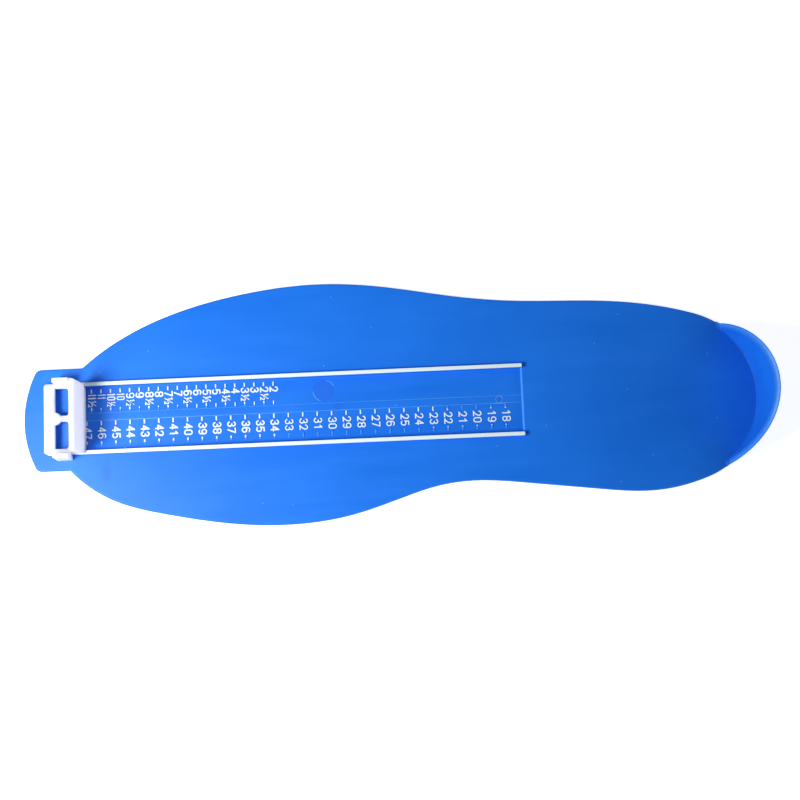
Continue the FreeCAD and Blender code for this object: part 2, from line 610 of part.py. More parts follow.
def toe_wall():
    """The upright wall that meets the toes, with its narrower foot down in the channel."""
    top_z = FLOOR_Z + TOE_WALL_HEIGHT
    wall = box(TOE_FACE_X - TOE_WALL, TOE_FACE_X, -DECK_HALF_WIDTH, DECK_HALF_WIDTH, DECK_Z, top_z)
    wall = round_edges(wall, TOE_WALL_CORNER,
                       lambda e: stands_upright(e) or lies_at_z(e, top_z))
    foot = box(TOE_FACE_X - TOE_WALL, TOE_FACE_X, -FOOT_HALF_WIDTH, FOOT_HALF_WIDTH,
               FOOT_Z, DECK_Z + DECK_THICKNESS)
    return wall.fuse(foot)


def stop_skirt():
    """The skirt below the toe bar that meets the channel's toe end."""
    return box(SLIDER_TOE_X, SLIDER_TOE_X + STOP_SKIRT, -FOOT_HALF_WIDTH, FOOT_HALF_WIDTH,
               FOOT_Z, DECK_Z + DECK_TOP_ROUND)


def cheek(side):
    """A pinch cheek outside the rail, with the hook that snaps under the rail's lip."""
    bottom_z = PLATE_THICKNESS + LIFT_GAP
    hook_z = RAIL_LIP_Z - LIFT_GAP
    top_z = PLATE_THICKNESS + CHEEK_HEIGHT
    inner_y = RAIL_OUT_Y + SIDE_GAP
    hook_y = RAIL_OUT_Y - RAIL_LIP_OVERHANG + LIFT_GAP
    top_y = CHEEK_FOOT_Y - CHEEK_LEAN
    in_deck_y = DECK_HALF_WIDTH - DECK_TOP_ROUND
    points = ((hook_y, bottom_z), (CHEEK_FOOT_Y, bottom_z), (top_y, top_z),
              (top_y - CHEEK_TOP_THICKNESS, top_z), (in_deck_y, DECK_Z + DECK_THICKNESS),
              (in_deck_y, DECK_Z), (inner_y, DECK_Z), (inner_y, hook_z), (hook_y, hook_z))
    start_x = SLIDER_TOE_X + CHEEK_FROM_TOE_EDGE
    solid = prism_along_x([(side * y, z) for y, z in points], start_x, start_x + CHEEK_LENGTH)

    def outer_edges(edge):
        b = edge.BoundBox
        across = b.XLength < 1e-4
        far_out = min(abs(b.YMin), abs(b.YMax)) > top_y - 0.01
        return (across and far_out and b.ZLength > 1.0) or lies_at_z(edge, top_z)
    return round_edges(solid, CHEEK_CORNER, outer_edges)


def toe_slider():
    slider = deck().fuse(toe_wall()).fuse(stop_skirt())
    for side in (1.0, -1.0):
        slider = slider.fuse(cheek(side))
    slider = slider.removeSplitter()
    deck_top_z = DECK_Z + DECK_THICKNESS
    wall_back_x = TOE_FACE_X - TOE_WALL

    def wall_foot(edge):
        b = edge.BoundBox
        return (lies_at_z(edge, deck_top_z) and abs(b.XMin - wall_back_x) < 1e-3
                and abs(b.XMax - wall_back_x) < 1e-3 and b.YLength > CHANNEL_WIDTH / 2.0)
    return round_edges(slider, TOE_WALL_FOOT_ROUND, wall_foot)


# ---- build ----------------------------------------------------------------------------------
NODES = {
    "base_plate": base_plate,
    "toe_slider": toe_slider,
    "rail_stripe_uk_side": lambda: rail_stripe(1.0),
    "rail_stripe_eu_side": lambda: rail_stripe(-1.0),
    "eu_ticks": lambda: Part.makeCompound(eu_ticks()),
    "eu_numbers": lambda: Part.makeCompound(eu_numbers()),
    "uk_ticks": lambda: Part.makeCompound(uk_ticks()),
    "uk_numbers": lambda: Part.makeCompound(uk_numbers()),
}

os.makedirs("parts", exist_ok=True)
for name, make in NODES.items():
    shape = make()
    shape.exportStep(os.path.join("parts", name + ".step"))
    print(name, "solids", len(shape.Solids), "valid", shape.isValid(), "volume", round(shape.Volume, 2))
print("slider travel", round(SLIDER_TRAVEL, 3))
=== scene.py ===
import bmesh
import bpy
import math
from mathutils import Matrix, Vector


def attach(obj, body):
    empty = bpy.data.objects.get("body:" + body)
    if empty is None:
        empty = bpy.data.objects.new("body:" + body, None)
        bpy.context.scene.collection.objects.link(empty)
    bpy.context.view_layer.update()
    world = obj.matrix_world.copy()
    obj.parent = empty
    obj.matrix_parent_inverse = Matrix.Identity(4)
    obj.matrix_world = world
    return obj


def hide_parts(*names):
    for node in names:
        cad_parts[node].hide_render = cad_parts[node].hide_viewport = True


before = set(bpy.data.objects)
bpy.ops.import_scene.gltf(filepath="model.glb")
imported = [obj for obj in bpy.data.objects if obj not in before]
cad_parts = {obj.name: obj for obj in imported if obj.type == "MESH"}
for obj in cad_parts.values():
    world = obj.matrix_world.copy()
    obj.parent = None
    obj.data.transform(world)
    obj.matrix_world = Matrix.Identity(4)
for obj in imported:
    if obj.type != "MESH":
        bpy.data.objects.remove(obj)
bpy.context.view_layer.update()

MM = 0.001


# ---- base plate and heel cup ----------------------------------------------------------------
# The foot-shaped plate, its rails and its heel cup are one injection moulding in blue ABS.
# The cup's rim comes out of the mould with a soft round on both sides, the sunk strips have a
# little draft on their long edges, and the skin is semi-gloss, with faint waves and flow marks.
WELD = 0.002 * MM
RIM_ROUND = 0.62 * MM
RIM_FROM_X = -20.0 * MM
RIM_FROM_Z = 3.9 * MM
RIM_CREASE = math.radians(30)
PLATE_TOP_Z = 3.0 * MM
CHANNEL_FLOOR_Z = 1.8 * MM
STRIP_FLOOR_Z = 1.68 * MM
STRIP_EDGES_Y = (14.245 * MM, 2.375 * MM, -0.825 * MM, -12.895 * MM)
STRIP_DRAFT = 0.22 * MM
NEAR_FLOOR = 0.004 * MM
NEAR_EDGE = 0.01 * MM
SMOOTH_ANGLE = math.radians(32)

# How far a face's normal goes one way: square on to it, along a wall, and up from the rim's top.
SQUARE_ON = 0.9
WALL_TILT = 0.2
RIM_TILT = 0.25


def linear(hex_colour):
    """An sRGB hex colour as the linear RGBA that a shader takes."""
    parts = [int(hex_colour[i:i + 2], 16) / 255.0 for i in (1, 3, 5)]
    return [c / 12.92 if c <= 0.04045 else ((c + 0.055) / 1.055) ** 2.4 for c in parts] + [1.0]


def add(tree, kind, sockets=None, **settings):
    """Adds a node with its settings, and with what each input is or where it comes from."""
    made = tree.nodes.new(kind)
    for name, value in settings.items():
        setattr(made, name, value)
    for name, value in (sockets or {}).items():
        if isinstance(value, bpy.types.NodeSocket):
            tree.links.new(value, made.inputs[name])
        else:
            made.inputs[name].default_value = value
    return made


def new_material(name):
    """An empty material and its node tree."""
    material = bpy.data.materials.new(name)
    material.use_nodes = True
    material.node_tree.nodes.clear()
    return material, material.node_tree


def pick_only(piece):
    bpy.ops.object.select_all(action="DESELECT")
    piece.select_set(True)
    bpy.context.view_layer.objects.active = piece


def welded_copy(node_name, piece_name):
    """A copy of a frame node with its loose triangles joined up, as a piece of its own."""
    pick_only(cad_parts[node_name])
    bpy.ops.object.duplicate()
    piece = bpy.context.object
    piece.name = piece.data.name = piece_name
    piece.parent = None
    for key in list(piece.keys()):
        del piece[key]
    piece.data.materials.clear()
    bpy.ops.object.mode_set(mode="EDIT")
    bpy.ops.mesh.select_all(action="SELECT")
    bpy.ops.mesh.remove_doubles(threshold=WELD)
    bpy.ops.mesh.customdata_custom_splitnormals_clear()
    bpy.ops.object.mode_set(mode="OBJECT")
    return piece


def select_where(piece, kind, wanted):
    """Selects, in edit mode, the verts, edges or faces that pass the test."""
    bpy.ops.object.mode_set(mode="EDIT")
    bpy.ops.mesh.select_mode(type=kind)
    bpy.ops.mesh.select_all(action="DESELECT")
    shape = bmesh.from_edit_mesh(piece.data)
    found = {"VERT": shape.verts, "EDGE": shape.edges, "FACE": shape.faces}[kind]
    for element in found:
        if wanted(element):
            element.select = True
    shape.select_flush_mode()
    bmesh.update_edit_mesh(piece.data)


def smooth_off(piece):
    """Smooth shading across the rounds, with the flats kept flat."""
    pick_only(piece)
    bpy.ops.object.shade_smooth_by_angle(angle=SMOOTH_ANGLE)
    bpy.ops.object.modifier_add(type="WEIGHTED_NORMAL")
    piece.modifiers[-1].keep_sharp = True
    bpy.ops.object.modifier_apply(modifier=piece.modifiers[-1].name)


def on_rim(edge):
    """The long edges of the cup's rim, where its top meets its walls."""
    if len(edge.link_faces) != 2 or min(v.co.z for v in edge.verts) < RIM_FROM_Z:
        return False
    if min(v.co.x for v in edge.verts) < RIM_FROM_X:
        return False
    wall, top = sorted(abs(face.normal.z) for face in edge.link_faces)
    return edge.calc_face_angle() > RIM_CREASE and wall < WALL_TILT and top > RIM_TILT


def at_strip_foot(side):
    """The foot of each strip's long walls that face this way."""
    def wanted(vert):
        if abs(vert.co.z - STRIP_FLOOR_Z) > NEAR_FLOOR:
            return False
        if min(abs(vert.co.y - y) for y in STRIP_EDGES_Y) > NEAR_EDGE:
            return False
        return any(side * face.normal.y > SQUARE_ON for face in vert.link_faces)
    return wanted


plate = welded_copy("base_plate", "moulded_plate")
for side in (1.0, -1.0):
    select_where(plate, "VERT", at_strip_foot(side))
    bpy.ops.transform.translate(value=(0.0, side * STRIP_DRAFT, 0.0))
select_where(plate, "EDGE", on_rim)
bpy.ops.mesh.bevel(offset=RIM_ROUND, segments=3, profile=0.5, clamp_overlap=True)
bpy.ops.object.mode_set(mode="OBJECT")
smooth_off(plate)

# ABS, injection moulded: an even blue with a soft sheen, IOR 1.54. The mould's fine texture, drawn
# coarser than it is so that it shows, takes the edge off reflections, and slow waves bend them.
# A little dust lies on it, one fingertip has smudged it beside the toe slider, and a painted
# shade darkens it round the foot of the heel cup's wall.
ABS_IOR = 1.54
ABS_SHEEN = 0.3
ABS_ROUGHNESS = (0.36, 0.46)
ABS_BLUE = "#1476EE"
ABS_BLUE_PALE = "#1A7DF6"
USUAL_NOISE = (0.3, 0.7)        # where most of a noise texture's values lie
CLOUD_SIZE = 45.0 * MM
FLOW_LENGTH = 60.0 * MM
FLOW_NARROWING = (1.0, 9.0, 9.0)
TONE_NOISE = (0.14, 0.38)
TEXTURE_SIZE = 0.5 * MM
TEXTURE_HEIGHT = 0.02 * MM
WAVE_LENGTH = 28.0 * MM
WAVE_HEIGHT = 0.25 * MM

SMUDGE = "#0E63CC"
SMUDGE_AT = (-299.2 * MM, -24.6 * MM, 0.0)
SMUDGE_LENGTH = 8.0 * MM
SMUDGE_NARROWING = (2.2, 1.0, 0.0)
SMUDGE_DEPTH = 0.7
WHORL_SIZE = 3.0 * MM
WHORL_NOISE = (0.3, 0.55)

# Painted shade: a darker blue on the plate round the foot of the heel cup's wall, where shade
# falls.
PAINTED_SHADE = "#0A5ABC"
SHADE_REACH = 26.0 * MM
SHADE_X = (-36.0 * MM, -8.0 * MM)
SHADE_TOP_Z = (PLATE_TOP_Z + 0.3 * MM, PLATE_TOP_Z + 1.2 * MM)
SHADE_DEPTH = 0.55
CUP_CENTRE = (-38.0 * MM, -1.3 * MM, 0.0)
CUP_RADIUS = 38.0 * MM
LEVEL = (1.0, 1.0, 0.0)

DUST = "#8CBCF8"
DUST_SPACING = 36.0 * MM
DUST_RADIUS = (0.006, 0.009)         # of the spacing, solid and faded out
DUST_DEPTH = 0.6


def off_cup_axis(tree, place):
    """How far a place is from the upright line that the heel cup curves round."""
    level_place = add(tree, "ShaderNodeVectorMath", {0: place, 1: LEVEL}, operation="MULTIPLY")
    off_axis = add(tree, "ShaderNodeVectorMath", {0: level_place.outputs[0], 1: CUP_CENTRE},
                   operation="DISTANCE")
    return off_axis.outputs["Value"]


moulded_blue_abs, tree = new_material("moulded_blue_abs")
place = add(tree, "ShaderNodeTexCoord").outputs["Object"]
clouds = add(tree, "ShaderNodeTexNoise", {"Vector": place, "Scale": 1 / CLOUD_SIZE, "Detail": 3.0})
along_flow = add(tree, "ShaderNodeMapping", {"Vector": place, "Scale": FLOW_NARROWING})
flow = add(tree, "ShaderNodeTexNoise", {"Vector": along_flow.outputs[0], "Scale": 1 / FLOW_LENGTH,
                                        "Detail": 4.0, "Roughness": 0.6})
blend = add(tree, "ShaderNodeMath", {0: clouds.outputs["Fac"], 1: flow.outputs["Fac"]},
            operation="MULTIPLY")
tone = add(tree, "ShaderNodeMapRange", {"Value": blend.outputs[0], "From Min": TONE_NOISE[0],
                                        "From Max": TONE_NOISE[1]})
body_colour = add(tree, "ShaderNodeMix", {0: tone.outputs[0], 6: linear(ABS_BLUE),
                                          7: linear(ABS_BLUE_PALE)}, data_type="RGBA")
to_smudge = add(tree, "ShaderNodeVectorMath", {0: place, 1: SMUDGE_AT}, operation="SUBTRACT")
across_smudge = add(tree, "ShaderNodeVectorMath", {0: to_smudge.outputs[0], 1: SMUDGE_NARROWING},
                    operation="MULTIPLY")
from_smudge = add(tree, "ShaderNodeVectorMath", {0: across_smudge.outputs[0]},
                  operation="LENGTH")
near_smudge = add(tree, "ShaderNodeMapRange", {"Value": from_smudge.outputs["Value"],
                                               "From Min": 0.0, "From Max": SMUDGE_LENGTH,
                                               "To Min": SMUDGE_DEPTH, "To Max": 0.0},
                  interpolation_type="SMOOTHSTEP")
whorls = add(tree, "ShaderNodeTexNoise", {"Vector": place, "Scale": 1 / WHORL_SIZE, "Detail": 2.0})
smear = add(tree, "ShaderNodeMapRange", {"Value": whorls.outputs["Fac"],
                                         "From Min": WHORL_NOISE[0],
                                         "From Max": WHORL_NOISE[1]})
smudge_mask = add(tree, "ShaderNodeMath", {0: near_smudge.outputs[0], 1: smear.outputs[0]},
                  operation="MULTIPLY")
with_smudge = add(tree, "ShaderNodeMix", {0: smudge_mask.outputs[0], 6: body_colour.outputs[2],
                                          7: linear(SMUDGE)}, data_type="RGBA")
spot = add(tree, "ShaderNodeSeparateXYZ", {0: place})
# Painted shade round the foot of the heel cup's wall. It fades away from the wall and is gone just
# above the plate's top.
at_wall_foot = add(tree, "ShaderNodeMapRange", {"Value": off_cup_axis(tree, place),
                                                "From Min": CUP_RADIUS - SHADE_REACH,
                                                "From Max": CUP_RADIUS, "To Max": SHADE_DEPTH},
                   interpolation_type="SMOOTHSTEP")
under_heel = add(tree, "ShaderNodeMapRange", {"Value": spot.outputs["X"], "From Min": SHADE_X[0],
                                              "From Max": SHADE_X[1]})
low_down = add(tree, "ShaderNodeMapRange", {"Value": spot.outputs["Z"],
                                            "From Min": SHADE_TOP_Z[0],
                                            "From Max": SHADE_TOP_Z[1],
                                            "To Min": 1.0, "To Max": 0.0})
shade_there = add(tree, "ShaderNodeMath", {0: at_wall_foot.outputs[0], 1: under_heel.outputs[0]},
                  operation="MULTIPLY")
painted_shade_mask = add(tree, "ShaderNodeMath", {0: shade_there.outputs[0], 1: low_down.outputs[0]},
                 operation="MULTIPLY")
with_painted_shade = add(tree, "ShaderNodeMix", {0: painted_shade_mask.outputs[0], 6: with_smudge.outputs[2],
                                         7: linear(PAINTED_SHADE)}, data_type="RGBA")
specks = add(tree, "ShaderNodeTexVoronoi", {"Vector": place, "Scale": 1 / DUST_SPACING},
             voronoi_dimensions="2D")
speck_mask = add(tree, "ShaderNodeMapRange", {"Value": specks.outputs["Distance"],
                                              "From Min": DUST_RADIUS[0],
                                              "From Max": DUST_RADIUS[1],
                                              "To Min": DUST_DEPTH, "To Max": 0.0})
with_dust = add(tree, "ShaderNodeMix", {0: speck_mask.outputs[0], 6: with_painted_shade.outputs[2],
                                        7: linear(DUST)}, data_type="RGBA")
roughness = add(tree, "ShaderNodeMapRange", {"Value": flow.outputs["Fac"],
                                             "From Min": USUAL_NOISE[0],
                                             "From Max": USUAL_NOISE[1],
                                             "To Min": ABS_ROUGHNESS[0],
                                             "To Max": ABS_ROUGHNESS[1]})
texture = add(tree, "ShaderNodeTexNoise", {"Vector": place, "Scale": 1 / TEXTURE_SIZE,
                                           "Detail": 2.0})
texture_bump = add(tree, "ShaderNodeBump", {"Height": texture.outputs["Fac"], "Strength": 0.25,
                                            "Distance": TEXTURE_HEIGHT})
waves = add(tree, "ShaderNodeTexNoise", {"Vector": place, "Scale": 1 / WAVE_LENGTH, "Detail": 1.0})
wave_bump = add(tree, "ShaderNodeBump", {"Height": waves.outputs["Fac"], "Strength": 0.5,
                                         "Distance": WAVE_HEIGHT,
                                         "Normal": texture_bump.outputs[0]})
shader = add(tree, "ShaderNodeBsdfPrincipled", {"Base Color": with_dust.outputs[2],
                                                "Roughness": roughness.outputs[0],
                                                "IOR": ABS_IOR, "Specular IOR Level": ABS_SHEEN,
                                                "Normal": wave_bump.outputs[0]})
add(tree, "ShaderNodeOutputMaterial", {"Surface": shader.outputs[0]})

# The same ABS in a paler blue, smoother than the moulded skin, as a painted highlight where small
# edges and raised tops catch the light. It is on two edges of the strips, the channel's sloped
# end, the mould's own marks and the bare tops of ticks.
HIGHLIGHT_BLUE = "#3C94F8"
HIGHLIGHT_BLUE_PALE = "#5CAAFE"
HIGHLIGHT_ROUGHNESS = (0.26, 0.4)
SCUFF_SIZE = 1.5 * MM

painted_highlight_blue_abs, tree = new_material("painted_highlight_blue_abs")
place = add(tree, "ShaderNodeTexCoord").outputs["Object"]
scuffs = add(tree, "ShaderNodeTexNoise", {"Vector": place, "Scale": 1 / SCUFF_SIZE,
                                          "Detail": 3.0})
highlight_colour = add(tree, "ShaderNodeMix", {0: scuffs.outputs["Fac"], 6: linear(HIGHLIGHT_BLUE),
                                            7: linear(HIGHLIGHT_BLUE_PALE)}, data_type="RGBA")
highlight_gloss = add(tree, "ShaderNodeMapRange", {"Value": scuffs.outputs["Fac"],
                                                "From Min": USUAL_NOISE[0],
                                                "From Max": USUAL_NOISE[1],
                                                "To Min": HIGHLIGHT_ROUGHNESS[0],
                                                "To Max": HIGHLIGHT_ROUGHNESS[1]})
shader = add(tree, "ShaderNodeBsdfPrincipled", {"Base Color": highlight_colour.outputs[2],
                                                "Roughness": highlight_gloss.outputs[0],
                                                "IOR": ABS_IOR})
add(tree, "ShaderNodeOutputMaterial", {"Surface": shader.outputs[0]})

# The same ABS on the cup's rim, with a painted highlight: a paler band along its upper shoulder,
# strongest at the back and patchy. The band lies between two distances out from the cup's inner
# wall.
RIM_BLUE = "#1C76EC"
RIM_HIGHLIGHT_BLUE = "#62AEFF"
RIM_ROUGHNESS = (0.28, 0.42)
RIM_SHEEN = 0.42
RIM_HIGHLIGHT_FROM = (CUP_RADIUS + 0.55 * MM, CUP_RADIUS + 1.15 * MM)
RIM_HIGHLIGHT_TO = (CUP_RADIUS + 1.45 * MM, CUP_RADIUS + 1.75 * MM)
RIM_HIGHLIGHT_X = (-3.9 * MM, -0.7 * MM)
RIM_HIGHLIGHT_AT_SIDES = 0.4
HIGHLIGHT_NOISE = (0.3, 0.6)
LEAST_HIGHLIGHT = 0.7

rim_highlight_blue_abs, tree = new_material("rim_highlight_blue_abs")
place = add(tree, "ShaderNodeTexCoord").outputs["Object"]
spot = add(tree, "ShaderNodeSeparateXYZ", {0: place})
off_axis = off_cup_axis(tree, place)
up_rim = add(tree, "ShaderNodeMapRange", {"Value": off_axis, "From Min": RIM_HIGHLIGHT_FROM[0],
                                          "From Max": RIM_HIGHLIGHT_FROM[1]})
short_of_edge = add(tree, "ShaderNodeMapRange", {"Value": off_axis, "From Min": RIM_HIGHLIGHT_TO[0],
                                                 "From Max": RIM_HIGHLIGHT_TO[1],
                                                 "To Min": 1.0, "To Max": 0.0})
toward_back = add(tree, "ShaderNodeMapRange", {"Value": spot.outputs["X"], "From Min": RIM_HIGHLIGHT_X[0],
                                           "From Max": RIM_HIGHLIGHT_X[1],
                                           "To Min": RIM_HIGHLIGHT_AT_SIDES, "To Max": 1.0})
scuffs = add(tree, "ShaderNodeTexNoise", {"Vector": place, "Scale": 1 / SCUFF_SIZE,
                                          "Detail": 3.0})
patchy = add(tree, "ShaderNodeMapRange", {"Value": scuffs.outputs["Fac"],
                                           "From Min": HIGHLIGHT_NOISE[0],
                                           "From Max": HIGHLIGHT_NOISE[1],
                                           "To Min": LEAST_HIGHLIGHT})
highlight_band = add(tree, "ShaderNodeMath", {0: up_rim.outputs[0], 1: short_of_edge.outputs[0]},
                operation="MULTIPLY")
highlight_strength = add(tree, "ShaderNodeMath", {0: toward_back.outputs[0], 1: patchy.outputs[0]},
                operation="MULTIPLY")
painted_highlight = add(tree, "ShaderNodeMath", {0: highlight_band.outputs[0], 1: highlight_strength.outputs[0]},
           operation="MULTIPLY")
# Painted highlight: the rim's blue turns paler within the band.
rim_colour = add(tree, "ShaderNodeMix", {0: painted_highlight.outputs[0], 6: linear(RIM_BLUE),
                                         7: linear(RIM_HIGHLIGHT_BLUE)}, data_type="RGBA")
rim_gloss = add(tree, "ShaderNodeMapRange", {"Value": scuffs.outputs["Fac"],
                                             "From Min": USUAL_NOISE[0],
                                             "From Max": USUAL_NOISE[1],
                                             "To Min": RIM_ROUGHNESS[0],
                                             "To Max": RIM_ROUGHNESS[1]})
shader = add(tree, "ShaderNodeBsdfPrincipled", {"Base Color": rim_colour.outputs[2],
                                                "Roughness": rim_gloss.outputs[0],
                                                "IOR": ABS_IOR, "Specular IOR Level": RIM_SHEEN})
add(tree, "ShaderNodeOutputMaterial", {"Surface": shader.outputs[0]})

# The same ABS where an ejector pin's ground end pressed it: duller and a shade darker.
PIN_FACE_BLUE = "#1272F0"
PIN_FACE_BLUE_DARK = "#106CE8"
PIN_FACE_ROUGHNESS = 0.6
GRINDING_SIZE = 0.6 * MM

pin_faced_abs, tree = new_material("pin_faced_abs")
place = add(tree, "ShaderNodeTexCoord").outputs["Object"]
grinding = add(tree, "ShaderNodeTexNoise", {"Vector": place, "Scale": 1 / GRINDING_SIZE,
                                            "Detail": 3.0})
pin_colour = add(tree, "ShaderNodeMix", {0: grinding.outputs["Fac"], 6: linear(PIN_FACE_BLUE),
                                         7: linear(PIN_FACE_BLUE_DARK)}, data_type="RGBA")
shader = add(tree, "ShaderNodeBsdfPrincipled", {"Base Color": pin_colour.outputs[2],
                                                "Roughness": PIN_FACE_ROUGHNESS, "IOR": ABS_IOR,
                                                "Specular IOR Level": ABS_SHEEN})
add(tree, "ShaderNodeOutputMaterial", {"Surface": shader.outputs[0]})

# Where the plate's faces take a material other than the moulded one.
HIGHLIT_STRIP_EDGES_Y = STRIP_EDGES_Y[1:3]
HIGHLIT_REACH = 1.1 * STRIP_DRAFT
HIGHLIT_TILT = (0.1, 0.97)
HIGHLIT_BELOW_Z = PLATE_TOP_Z - 0.1 * MM
CHANNEL_END_X = (-107.4 * MM, -106.4 * MM)
CHANNEL_END_TILT = -0.5
LOOKING_UP = 0.99
PIN_MARK_SINK = 0.08 * MM
PIN_MARKS = (((-198.0 * MM, 8.31 * MM), 5.0 * MM, STRIP_FLOOR_Z),
             ((-191.8 * MM, 0.775 * MM), 1.6 * MM, CHANNEL_FLOOR_Z),
             ((-117.47 * MM, 0.775 * MM), 1.6 * MM, CHANNEL_FLOOR_Z))


def is_rim(face):
    return (face.center.z > RIM_FROM_Z and face.center.x > RIM_FROM_X
            and face.normal.z > RIM_TILT)


def is_highlit(face):
    """The edges of the strips along the middle, and the slope that ends the channel."""
    x, y, z = face.center
    tilt = face.normal
    if not HIGHLIT_TILT[0] < tilt.z < HIGHLIT_TILT[1] or z > HIGHLIT_BELOW_Z:
        return False
    on_draft = z < CHANNEL_FLOOR_Z and abs(tilt.y) > WALL_TILT and \
        min(abs(y - edge_y) for edge_y in HIGHLIT_STRIP_EDGES_Y) < HIGHLIT_REACH
    return on_draft or (tilt.x < CHANNEL_END_TILT and CHANNEL_END_X[0] < x < CHANNEL_END_X[1])


def is_pin_face(face):
    """The flat bottoms of the shallow round marks."""
    x, y, z = face.center
    return face.normal.z > LOOKING_UP and any(
        math.hypot(x - centre[0], y - centre[1]) < radius and z < floor_z - 0.5 * PIN_MARK_SINK
        for centre, radius, floor_z in PIN_MARKS)


for material in (moulded_blue_abs, painted_highlight_blue_abs, pin_faced_abs, rim_highlight_blue_abs):
    plate.data.materials.append(material)
# The rim takes its painted highlight; the strips' edges and the channel's end slope take the paler
# blue of a painted highlight.
for face in plate.data.polygons:
    if is_rim(face):
        face.material_index = 3
    elif is_highlit(face):
        face.material_index = 1
    elif is_pin_face(face):
        face.material_index = 2
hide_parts("base_plate")
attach(plate, "base")


# ---- ejector marks --------------------------------------------------------------------------
# The mould's ejector pins leave low rings on the channel floor, and a joint between two of its
# inserts leaves a short bead across the smallest sizes' ticks. They take the paler blue of a
# painted highlight.
WITNESS_SINK = 0.02 * MM
WITNESS_RISE = 0.09 * MM
WITNESS_SLOPE = 0.12 * MM
RING_SIDES = 72
EJECTOR_RING = ((-198.0 * MM, 8.31 * MM, STRIP_FLOOR_Z), 5.12 * MM, 0.42 * MM,
                ((25, 75), (180, 250)))
PIN_RING = ((-117.47 * MM, 0.775 * MM, CHANNEL_FLOOR_Z), 1.72 * MM, 0.38 * MM, ((0, 360),))
BEAD_AT = (-117.8 * MM, -0.98 * MM, 1.7 * MM)
BEAD_LENGTH = 6.9 * MM
BEAD_WIDTH = 0.6 * MM
BEAD_TURN = math.radians(-2.0)


def raise_flat(piece):
    """Gives a flat shape a thickness, then a low rise with sloped sides."""
    bpy.ops.mesh.select_all(action="SELECT")
    bpy.ops.mesh.extrude_region_move(
        TRANSFORM_OT_translate={"value": (0.0, 0.0, WITNESS_SINK)})
    bpy.ops.mesh.inset(thickness=WITNESS_SLOPE, depth=0.0, use_boundary=True)
    bpy.ops.transform.translate(value=(0.0, 0.0, WITNESS_RISE))
    bpy.ops.mesh.select_all(action="SELECT")
    bpy.ops.mesh.normals_make_consistent(inside=False)
    bpy.ops.object.mode_set(mode="OBJECT")
    pick_only(piece)
    bpy.ops.object.transform_apply(location=True, rotation=True, scale=True)
    return piece


def witness_ring(centre, radius, width, arcs):
    """A low ring, kept only along the given arcs, where it shows a painted highlight: arcs are the
    degrees that remain.
    """
    def off_the_arcs(face):
        centre_of_face = face.calc_center_median()
        angle = math.degrees(math.atan2(centre_of_face.y, centre_of_face.x)) % 360
        return not any(first <= angle <= last for first, last in arcs)
    bpy.ops.object.select_all(action="DESELECT")
    bpy.ops.mesh.primitive_circle_add(vertices=RING_SIDES, radius=radius, fill_type="NGON",
                                      location=Vector(centre) - Vector((0, 0, WITNESS_SINK)))
    ring = bpy.context.object
    bpy.ops.object.mode_set(mode="EDIT")
    bpy.ops.mesh.select_mode(type="FACE")
    bpy.ops.mesh.select_all(action="SELECT")
    bpy.ops.mesh.inset(thickness=width, depth=0.0)
    bpy.ops.mesh.delete(type="FACE")
    select_where(ring, "FACE", off_the_arcs)
    bpy.ops.mesh.delete(type="FACE")
    return raise_flat(ring)


def witness_bead():
    bpy.ops.object.select_all(action="DESELECT")
    bpy.ops.mesh.primitive_plane_add(size=BEAD_LENGTH, location=BEAD_AT)
    bead = bpy.context.object
    bead.rotation_euler.z = BEAD_TURN
    bpy.ops.object.mode_set(mode="EDIT")
    bpy.ops.mesh.select_mode(type="FACE")
    bpy.ops.mesh.select_all(action="SELECT")
    bpy.ops.transform.resize(value=(1.0, BEAD_WIDTH / BEAD_LENGTH, 1.0))
    return raise_flat(bead)


witness_parts = [witness_ring(*EJECTOR_RING), witness_ring(*PIN_RING), witness_bead()]
bpy.ops.object.select_all(action="DESELECT")
for part in witness_parts:
    part.select_set(True)
bpy.context.view_layer.objects.active = witness_parts[0]
bpy.ops.object.join()
witness_marks = bpy.context.object
witness_marks.name = witness_marks.data.name = "ejector_marks"
# The marks take the paler blue of a painted highlight.
witness_marks.data.materials.append(painted_highlight_blue_abs)
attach(witness_marks, "base")


# ---- raised numbers and ticks ---------------------------------------------------------------
# The scales are moulded proud of the channel floor in the plate's own blue ABS. White foil is
# hot stamped on their tops: the roller presses harder at the toe end, so there the foil wraps
# over the edges, and further on it only takes on the middle of each stroke.
MARK_TOP_Z = 1.98 * MM
MARK_TOP_FROM_Z = MARK_TOP_Z - 0.01 * MM
PARIS_POINT = 20.0 / 3.0 * MM
HEEL_ALLOWANCE = 5.2 * MM
UK_HALF_STEP = PARIS_POINT * 2.0 / 3.0
UK_SMALLEST = 2.0
EU_AT_UK_SMALLEST = 34
DIGIT_LEAN = 0.3 * MM


def eu_x(size):
    return HEEL_ALLOWANCE - size * PARIS_POINT


def eu_size(x):
    """The continental size at a place along the scale, to the nearest whole one."""
    return EU_AT_UK_SMALLEST + round((eu_x(EU_AT_UK_SMALLEST) - x) / PARIS_POINT)


def uk_size(x):
    """The UK size at a place along the scale, to the nearest half."""
    return UK_SMALLEST + 0.5 * round((eu_x(EU_AT_UK_SMALLEST) - x) / UK_HALF_STEP)


# Hot-stamping foil: an opaque white lacquer film with a satin face, IOR 1.5. It is thinner
# in tiny patches, drawn coarser than they are, where the blue below shows through.
FOIL_IOR = 1.5
FOIL_WHITE = "#ECFDFF"
FOIL_THIN = "#C4DCFA"
FOIL_ROUGHNESS = (0.38, 0.55)
PATCH_SIZE = 0.35 * MM
PATCH_NOISE = (0.62, 0.74)
PATCH_DEPTH = 0.5
PATCH_SINK = 0.01 * MM

